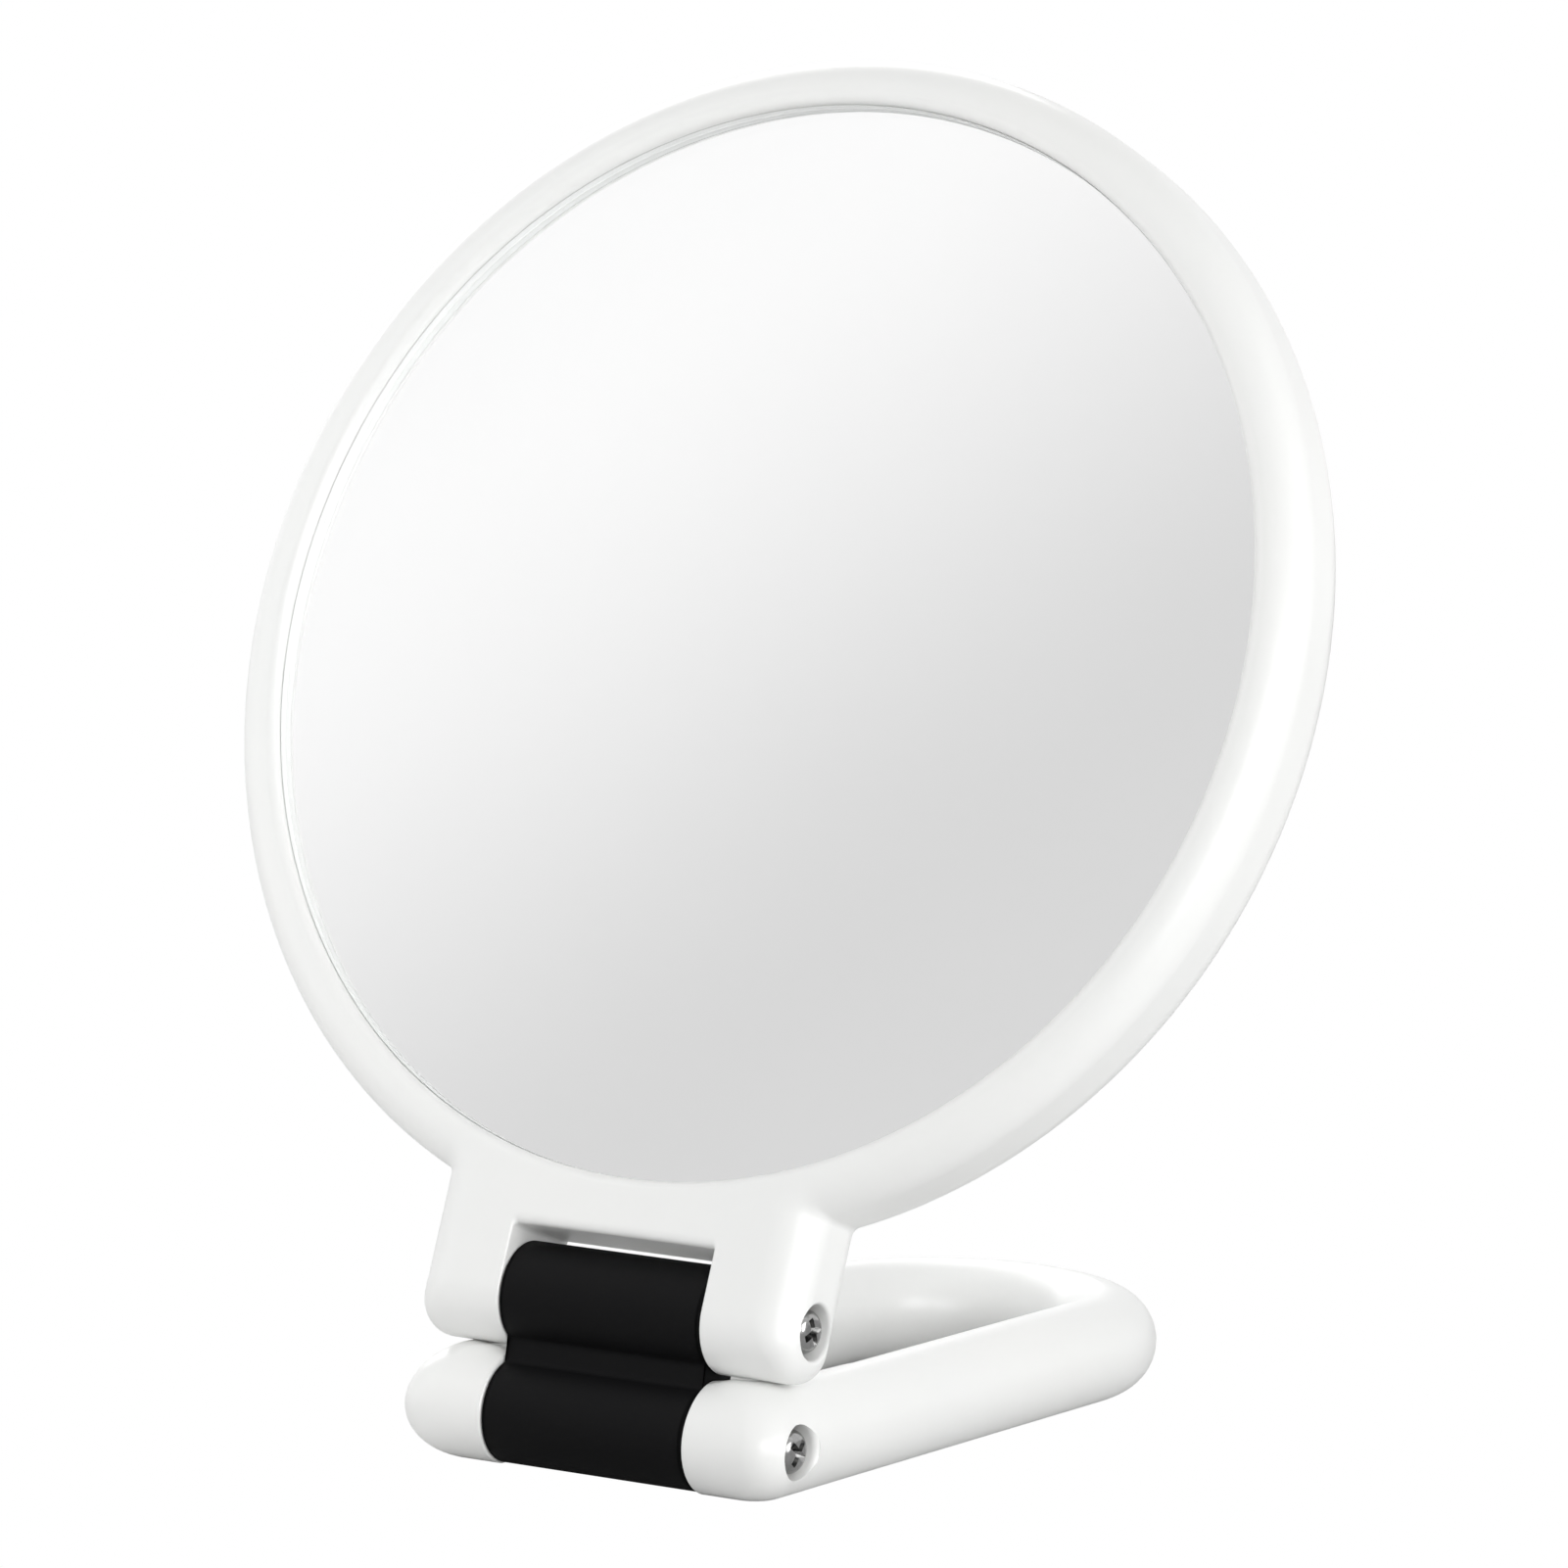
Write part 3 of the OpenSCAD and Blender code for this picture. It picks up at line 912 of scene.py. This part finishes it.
def make_handle():
    mesh = bmesh.new()
    right = hub_stations() + arm_stations()
    left = [(Vector((-a.x, a.y)), Vector((-b.x, b.y)), h) for a, b, h in reversed(right)]
    rows = [oval_row(mesh, *station) for station in right + loop_stations() + left]
    skin_rows(mesh, rows, closed=True)
    for row in (rows[0], rows[-1]):
        mesh.faces.new(row)
    split_large_faces(mesh)
    print("open edges of the handle:", weld(mesh))
    return make_piece("handle_rod", mesh, IN_HANDLE)


HUB_FLARE = 0.5 * MM
handle_rod = make_handle()
for side in (-1, 1):
    cut_away(handle_rod, bore_cutter("hub_cutter", HUB_MOUTH, HUB_FLARE, LOWER_AXIS, side))
even_shading(handle_rod)
wear_coat(handle_rod, white_abs)
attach(handle_rod, "handle")
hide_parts("handle_loop")
print("handle faces:", len(handle_rod.data.polygons))

# %% [markdown]
# ## The hinge link
#
# The link is two black barrels with a web between them, drawn from the side as two
# circles joined by a waist with small fillets. It could be two cylinders and a block, but
# then the crease would be a hard line where the real one is a soft, dark hollow. So the
# whole side view is one closed outline, pulled along the axis. The barrels go on a little
# past the web on both ends, with broken edges.

# %% The side view of the link
LINK_STEPS = 96
BEHIND_WEB_STEPS = 12
WEB_FILLET_STEPS = 8
WEB_HALF = 2.75 * MM
WEB_FILLET = 0.9 * MM
WEB_INSET = 0.1 * MM
BARREL_EDGE = 0.5 * MM
BARREL_EDGE_TURNS = (0, 18, 36, 54, 72, 90)
LINK_BORE_R = 2.52 * MM
fillet_rise = math.sqrt((BARREL_R + WEB_FILLET) ** 2 - (WEB_HALF + WEB_FILLET) ** 2)
fillet_turn = math.atan2(WEB_HALF + WEB_FILLET, fillet_rise)


def barrel_arc(centre_z, from_turn, to_turn, radius, steps):
    """Points of a barrel's circle. A turn of 0 points from the barrel towards the web."""
    sign = 1 if centre_z == 0 else -1
    points = []
    for i in range(steps + 1):
        turn = from_turn + (to_turn - from_turn) * i / steps
        points.append((radius * math.sin(turn), centre_z + sign * radius * math.cos(turn)))
    return points


def open_arc(centre_z, radius, backwards=False):
    """The long way round a barrel, from one face of the web to the other."""
    turns = (fillet_turn, 2 * math.pi - fillet_turn)
    return barrel_arc(centre_z, *turns[:: -1 if backwards else 1], radius, LINK_STEPS)


def hidden_arc(centre_z, radius):
    """The short way round a barrel, behind the web."""
    return barrel_arc(centre_z, -fillet_turn, fillet_turn, radius, BEHIND_WEB_STEPS)


def web_fillet(centre_z, side):
    """From the barrel to the web's face, on the front or the back."""
    sign = 1 if centre_z == 0 else -1
    centre_y = side * (WEB_HALF + WEB_FILLET)
    rise = centre_z + sign * fillet_rise
    points = []
    for i in range(1, WEB_FILLET_STEPS + 1):
        turn = fillet_turn + (math.pi / 2 - fillet_turn) * i / WEB_FILLET_STEPS
        y = centre_y - side * WEB_FILLET * math.sin(turn)
        points.append((y, rise - sign * WEB_FILLET * math.cos(turn)))
    return points


def web_side(side):
    """One face of the web, from the lower barrel to the upper one."""
    return web_fillet(0, side) + web_fillet(AXIS_SPACING, side)[::-1]


print("the barrels meet the web at", round(math.degrees(fillet_turn), 1), "degrees")

# %% Build the link
def side_row(mesh, x, outline):
    """Lays an outline of (y, z) points at one place across the link."""
    return add_row(mesh, [(x, y, z) for y, z in outline])


def barrel_end_levels():
    """(x, radius) from the web over the rounded edge to the end of a barrel."""
    half = BARREL_W / 2
    levels = [(half - WEB_INSET, BARREL_R)]
    for turn in BARREL_EDGE_TURNS:
        angle = math.radians(turn)
        x = half - BARREL_EDGE * (1 - math.sin(angle))
        levels.append((x, BARREL_R - BARREL_EDGE * (1 - math.cos(angle))))
    return levels + [(half, LINK_BORE_R), (0, LINK_BORE_R)]


def make_link():
    mesh = bmesh.new()
    web_x = BARREL_W / 2 - WEB_INSET
    outline = (
        open_arc(0, BARREL_R) + web_side(-1)
        + open_arc(AXIS_SPACING, BARREL_R, backwards=True) + web_side(1)[::-1]
    )
    rows = [side_row(mesh, x, outline) for x in (-web_x, web_x)]
    skin_rows(mesh, rows, closed=True)
    waist = (
        hidden_arc(0, BARREL_R) + web_side(1)
        + hidden_arc(AXIS_SPACING, BARREL_R)[::-1] + web_side(-1)[::-1]
    )
    for side in (-1, 1):
        mesh.faces.new(side_row(mesh, side * web_x, waist))
        for centre_z in (0, AXIS_SPACING):
            rings = []
            for x, radius in barrel_end_levels():
                around = open_arc(centre_z, radius) + hidden_arc(centre_z, radius)[1:-1]
                rings.append(side_row(mesh, side * x, around))
            skin_rows(mesh, rings, closed=True)
    split_large_faces(mesh)
    print("open edges of the link:", weld(mesh))
    return make_piece("black_link", mesh, IN_LINK)


black_link = make_link()
even_shading(black_link)
wear_coat(black_link, black_abs)
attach(black_link, "link")
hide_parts("hinge_link")
print("link faces:", len(black_link.data.polygons))

# %% [markdown]
# ## The two mirrors
#
# Each mirror is a glass disc with its sharp edge taken off all round, and a film of
# silver behind it. The magnifying one is slumped over a mould into a shallow bowl, so
# both of its faces follow spheres about one centre. They are turned finely, because a
# mirror shows every facet of its surface.

# %% Turn the glasses and their silvering
GLASS_TURNS = 288
BOWL_RINGS = 28
ARRIS = 0.1 * MM
FILM_GAP = 0.005 * MM  # air between glass and film, so that no two faces coincide
ON_RING = IN_HEAD @ Matrix.Translation((0, 0, RING_RISE)) @ Matrix.Rotation(math.pi / 2, 4, "X")
ON_RING_BACK = ON_RING @ Matrix.Rotation(math.pi, 4, "X")


def flat_disc_profile(top, bottom, arris):
    return [
        (top, 0), (top, GLASS_R - arris), (top - arris, GLASS_R),
        (bottom + arris, GLASS_R), (bottom, GLASS_R - arris), (bottom, 0),
    ]


def bowl_profile(front, back, arris):
    """A layer of the slumped glass between two depths behind its hollow face."""
    radii = [(GLASS_R - arris) * i / BOWL_RINGS for i in range(BOWL_RINGS + 1)]
    top = [(slump_depth(radius, front), radius) for radius in radii]
    bottom = [(slump_depth(radius, back), radius) for radius in reversed(radii)]
    edge = [
        (slump_depth(GLASS_R, front) - arris, GLASS_R),
        (slump_depth(GLASS_R, back) + arris, GLASS_R),
    ]
    return top + edge + bottom


def grind_edge(piece, place):
    """Gives the faces round the rim of a glass the look of a ground edge."""
    piece.data.materials.append(ground_edge)
    on_axis = place.inverted()
    for face in piece.data.polygons:
        centre = on_axis @ face.center
        if math.hypot(centre.x, centre.y) > GLASS_R - ARRIS:
            face.material_index = 1


flat_back = GLASS_FACE - GLASS_T
film_back = GLASS_T + SILVERING_T
mirrors = {
    "flat_glass": (
        flat_disc_profile(GLASS_FACE, flat_back, ARRIS), ON_RING, float_glass, "clear_glass"
    ),
    "flat_silvering": (
        flat_disc_profile(flat_back - FILM_GAP, flat_back - SILVERING_T, FILM_GAP),
        ON_RING, silver_film, "silvering",
    ),
    "magnifying_glass": (
        bowl_profile(0, GLASS_T, ARRIS), ON_RING_BACK, float_glass, "clear_glass"
    ),
    "magnifying_silvering": (
        bowl_profile(GLASS_T + FILM_GAP, film_back, FILM_GAP),
        ON_RING_BACK, silver_film, "silvering",
    ),
}
for node, (profile, place, finish, slot_name) in mirrors.items():
    piece = lathe("turned_" + node, profile, place, segments=GLASS_TURNS)
    wear_coat(piece, finish)
    if finish == float_glass:
        grind_edge(piece, place)
    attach(piece, "head")
    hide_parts(node)
print("mirror pieces:", len(mirrors))

# %% [markdown]
# ## Metal, nylon and foam
#
# The hardware is small but it is real: nickel-plated screws that keep the fine grain of
# the heading die, zinc-plated axle tubes, tempered disc springs, nylon friction washers
# and the foam tape that holds the glasses. Bare metals take their colour from reflection
# alone, so their look lies in how rough they are and how the roughness varies. The node
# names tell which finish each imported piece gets.

# %% Hardware materials
def make_metal(name, grain_mm, tones, rough):
    """A bare or plated metal, whose roughness follows its grain."""
    return grained_material(
        name, grain_mm, tones, {"Metallic": 1.0},
        rough=rough, detail={"Detail": 3.0, "Roughness": 0.6},
    )


# Nickel stays bright, with a faint warm tone and a fine grain from the heading die
nickel = make_metal("nickel_plated_steel", 0.5, ("#B4B4B3", "#8A8A8A"), (0.12, 0.24))
# Zinc is bluer and duller, with the spangle of a barrel-plated batch
zinc = make_metal("zinc_plated_steel", 1.5, ("#C6C9CD", "#A9ADB2"), (0.28, 0.45))
# Oil-tempered spring steel is dark and streaked
spring_steel = make_metal("tempered_spring_steel", 0.8, ("#8F8B86", "#6E6A66"), (0.32, 0.5))
# Closed-cell foam tape is grey and dull, and pitted by cells a quarter of a millimetre wide
foam = grained_material(
    "closed_cell_foam_tape", grain_mm=0.25, tones=("#8E8F90", "#B2B3B4"),
    values={"Roughness": 0.9}, relief=(0.6, 0.05 * MM), texture="Voronoi",
)
# Natural nylon is ivory and waxy, and cloudy where it took up moisture
nylon = grained_material(
    "natural_nylon", grain_mm=2.5, tones=("#EFEBDD", "#E2DCC9"),
    values={"IOR": 1.53, "Roughness": 0.42},
)
inner_finishes = {
    "tape_ring": foam,
    "axle": zinc,
    "disc_spring": spring_steel,
    "friction_washer": nylon,
    "screw": nickel,
}
for node, piece in nodes.items():
    for ending, finish in inner_finishes.items():
        if node.endswith(ending):
            wear_coat(piece, finish)
print("materials so far:", len(bpy.data.materials))

# %% [markdown]
# ## The screws
#
# Four pan-head screws close the hinges. The head has a domed crown and a cross recess
# whose wings taper towards the point of the driver, and the shank carries a real thread
# that winds down it. No two screws stop at the same angle, so each has its own turn.

# %% Sizes of the screws
HEAD_R = 2.55 * MM
HEAD_CROWN = 1.33 * MM
THREAD_R = 1.25 * MM
THREAD_CORE = 1.0 * MM
THREAD_PITCH = 0.45 * MM
STEPS_PER_PITCH = 6
SHANK_L = 8 * MM
UNDER_HEAD_EDGE = 0.1 * MM
SCREW_TURNS = full_turn(48)
SCREW_SHARP_ANGLE = 30
# Height above the seat, reach of a wing and half its width, in mm
RECESS_LEVELS = ((2.2, 1.95, 0.46), (1.9, 1.8, 0.43), (0.5, 0.6, 0.24))
WING_CORNERS = 3  # one at the root of each wing, which it shares, and two at its tip


def thread_radius(depth, turn):
    """Radius of the thread at a depth under the head, with a run-out at both ends."""
    phase = (depth / THREAD_PITCH + turn / (2 * math.pi)) % 1
    crest = 1 - abs(2 * phase - 1)
    run_out = min(1, depth / THREAD_PITCH, (SHANK_L - depth) / THREAD_PITCH)
    return THREAD_CORE + (THREAD_R - THREAD_CORE) * crest * max(0, run_out)


print("turns of the thread:", round(SHANK_L / THREAD_PITCH, 1))

# %% Build a screw
def cross_cutter(place):
    """A cross whose wings narrow and shorten towards the bottom of the recess."""
    mesh = bmesh.new()
    rings = []
    for height, reach, half in RECESS_LEVELS:
        corners = []
        for quarter in range(4):
            turn = Matrix.Rotation(quarter * math.pi / 2, 2)
            for x, y in ((half, half), (reach, half), (reach, -half)):
                flat = turn @ Vector((x, -y))
                corners.append((flat.x * MM, flat.y * MM, height * MM))
        rings.append(add_row(mesh, corners))
    skin_rows(mesh, rings, closed=True)
    for ring in (rings[0], rings[-1]):
        roots = ring[::WING_CORNERS]
        mesh.faces.new(roots)
        for quarter in range(4):
            wing = ring[WING_CORNERS * quarter : WING_CORNERS * (quarter + 1)]
            mesh.faces.new(wing + [roots[(quarter + 1) % 4]])
    weld(mesh, distance=0)
    return make_piece("cross_cutter", mesh, place)


def head_profile():
    """(height, radius) from the crown of a screw's head to the top of its shank."""
    profile = []
    for angle in [math.radians(turn) for turn in EDGE_TURNS]:
        height = HEAD_H - HEAD_CROWN * (1 - math.cos(angle))
        profile.append((height, HEAD_R - HEAD_CROWN * (1 - math.sin(angle))))
    return profile + [
        (UNDER_HEAD_EDGE, HEAD_R), (0, HEAD_R - UNDER_HEAD_EDGE), (0, THREAD_R),
    ]


def thread_row(mesh, depth):
    points = []
    for turn in SCREW_TURNS:
        radius = thread_radius(depth, turn)
        points.append((radius * math.cos(turn), radius * math.sin(turn), -depth))
    return add_row(mesh, points)


def make_screw(name, place):
    mesh = bmesh.new()
    count = len(SCREW_TURNS)
    rows = [[mesh.verts.new((0, 0, HEAD_H))] * count]
    for height, radius in head_profile():
        rows.append(add_row(mesh, circle(radius, height, SCREW_TURNS)))
    steps = round(SHANK_L / THREAD_PITCH * STEPS_PER_PITCH)
    rows += [thread_row(mesh, SHANK_L * i / steps) for i in range(1, steps + 1)]
    rows.append([mesh.verts.new((0, 0, -SHANK_L))] * count)
    skin_rows(mesh, rows, closed=True)
    bmesh.ops.recalc_face_normals(mesh, faces=mesh.faces)
    screw = make_piece(name, mesh, place)
    cut_away(screw, cross_cutter(place))
    even_shading(screw, SCREW_SHARP_ANGLE)
    return screw


print("points of a head's profile:", len(head_profile()))

# %% Seat the four screws
# Each screw's axis, its side, the mouth of its counterbore and its turn in degrees
screw_seats = {
    "upper_left_screw": (UPPER_AXIS, -1, EAR_OUT, 35),
    "upper_right_screw": (UPPER_AXIS, 1, EAR_OUT, 20),
    "lower_left_screw": (LOWER_AXIS, -1, HUB_MOUTH, 70),
    "lower_right_screw": (LOWER_AXIS, 1, HUB_MOUTH, 52),
}
for node, (axis, side, mouth, turn) in screw_seats.items():
    outwards = Matrix.Rotation(side * math.pi / 2, 4, "Y")
    sunk = Matrix.Translation((0, 0, mouth - HEAD_SINK - HEAD_H))
    seat = sunk @ Matrix.Rotation(math.radians(turn), 4, "Z")
    screw = make_screw("turned_" + node, Matrix.Translation(axis) @ outwards @ seat)
    wear_coat(screw, nickel)
    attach(screw, "link")
    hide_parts(node)
print("screws:", len(screw_seats), "with faces:", len(screw.data.polygons))

# %% [markdown]
# ## The studio
#
# The photograph is a cut-out product shot: pure white all round, with no floor line and
# no shadow. The light itself is not even, though. It comes mostly from the right and from
# behind on the left, and the flat mirror looks at a place in the tent where white paper
# gives way to grey. So the tent has three readings: what the camera sees is plain white,
# what lights the plastic is a low, even light, and what the mirrors reflect is that slow
# step from white to grey. The softboxes add the light that has a direction. The table
# gives light back from below, but the camera looks through it.

# %% The tent
WHITE = colour("#FFFFFF")
TENT_LIGHT = 0.31
# A mirrored direction is as grey as it points this way, between two cosines
GREY_TOWARDS = (0.575, -0.7097, -0.4071)
WHITE_UNTIL = -0.0433
GREY_FROM = 0.0413
MIRRORED_WHITE = 1.03
MIRRORED_GREY = 0.727


def make_tent():
    world = bpy.data.worlds.new("white_tent")
    world.use_nodes = True
    tree = world.node_tree
    tree.nodes.clear()
    direction = add_node(tree, "ShaderNodeTexCoord").outputs["Generated"]
    step = add_node(
        tree, "ShaderNodeVectorMath", {"operation": "DOT_PRODUCT"},
        values={1: GREY_TOWARDS}, links={0: direction},
    )
    mirrored_step = add_node(
        tree, "ShaderNodeMapRange", {"interpolation_type": "SMOOTHSTEP"},
        values={
            "From Min": WHITE_UNTIL, "From Max": GREY_FROM,
            "To Min": MIRRORED_WHITE, "To Max": MIRRORED_GREY,
        },
        links={"Value": step.outputs["Value"]},
    )
    ray = add_node(tree, "ShaderNodeLightPath")
    seen = add_node(tree, "ShaderNodeBackground", values={"Color": WHITE})
    cast = add_node(
        tree, "ShaderNodeBackground", values={"Color": WHITE, "Strength": TENT_LIGHT}
    )
    reflected = add_node(
        tree, "ShaderNodeBackground",
        values={"Color": WHITE}, links={"Strength": mirrored_step.outputs["Result"]},
    )
    by_light = add_node(
        tree, "ShaderNodeMixShader",
        links={0: ray.outputs["Is Diffuse Ray"], 1: reflected.outputs[0], 2: cast.outputs[0]},
    )
    by_eye = add_node(
        tree, "ShaderNodeMixShader",
        links={0: ray.outputs["Is Camera Ray"], 1: by_light.outputs[0], 2: seen.outputs[0]},
    )
    add_node(tree, "ShaderNodeOutputWorld", links={"Surface": by_eye.outputs[0]})
    scene.world = world


make_tent()
print("tent:", scene.world.name)

# %% The table and the softboxes
TABLE_HALF = 4.0  # metres from the middle of the table to its sides


def make_floor():
    """
    Paper that gives light back to the object, but that the camera looks through, so that
    no line shows between table and tent. Light passes it from below, because the head may
    be swung down past the edge of the table.
    """
    mesh = bpy.data.meshes.new("studio_floor")
    signs = ((-1, -1), (1, -1), (1, 1), (-1, 1))
    corners = [(TABLE_HALF * x, TABLE_HALF * y, 0) for x, y in signs]
    mesh.from_pydata(corners, [], [(0, 1, 2, 3)])
    floor = bpy.data.objects.new("studio_floor", mesh)
    scene.collection.objects.link(floor)
    material, tree, where = new_material("white_paper")
    fibre_mm = 1.2
    fibre = add_node(
        tree, "ShaderNodeTexNoise",
        values={"Scale": pattern_scale(fibre_mm), "Detail": 2.0},
        links={"Vector": where},
    )
    tint = add_node(
        tree, "ShaderNodeMix", {"data_type": "RGBA"},
        values={"A": colour("#D5D5D5"), "B": colour("#D1D1D1")},
        links={"Factor": fibre.outputs["Fac"]},
    )
    paper = add_node(tree, "ShaderNodeBsdfDiffuse", links={"Color": tint.outputs["Result"]})
    side = add_node(tree, "ShaderNodeNewGeometry")
    from_below = add_node(tree, "ShaderNodeBsdfTransparent")
    surface = add_node(
        tree, "ShaderNodeMixShader",
        links={0: side.outputs["Backfacing"], 1: paper.outputs[0], 2: from_below.outputs[0]},
    )
    add_node(tree, "ShaderNodeOutputMaterial", links={"Surface": surface.outputs[0]})
    wear_coat(floor, material)
    floor.visible_camera = False


# Place, width and height in metres, power in watts, and whether reflections show it
SOFTBOXES = {
    "right_softbox": ((1.1, -0.2, 0.35), 0.6, 0.6, 5.2, True),
    "high_right_softbox": ((1.04, -0.03, 1.03), 1.1, 1.1, 0.8, True),
    "front_right_softbox": ((0.75, -0.85, 0.35), 0.5, 0.6, 4.4, True),
    "back_left_softbox": ((-0.7, 0.6, 0.7), 0.8, 0.8, 5.3, True),
    "back_softbox": ((0.0, 1.0, 0.9), 0.9, 0.9, 0.35, True),
    "left_reflector": ((-0.42, -0.25, 0.20), 0.3, 0.4, 1.1, False),
}
LIGHTS_AIM = Vector((0, -0.03, 0.05))


def make_softbox(name, place, width, height, power, mirrored):
    data = bpy.data.lights.new(name, "AREA")
    data.shape = "RECTANGLE"
    data.size = width
    data.size_y = height
    data.energy = power
    light = bpy.data.objects.new(name, data)
    light.location = place
    light.rotation_euler = (LIGHTS_AIM - light.location).to_track_quat("-Z", "Y").to_euler()
    light.visible_camera = False
    light.visible_glossy = mirrored
    light.visible_transmission = mirrored
    scene.collection.objects.link(light)


make_floor()
for name, setting in SOFTBOXES.items():
    make_softbox(name, *setting)
scene.view_settings.view_transform = "Standard"
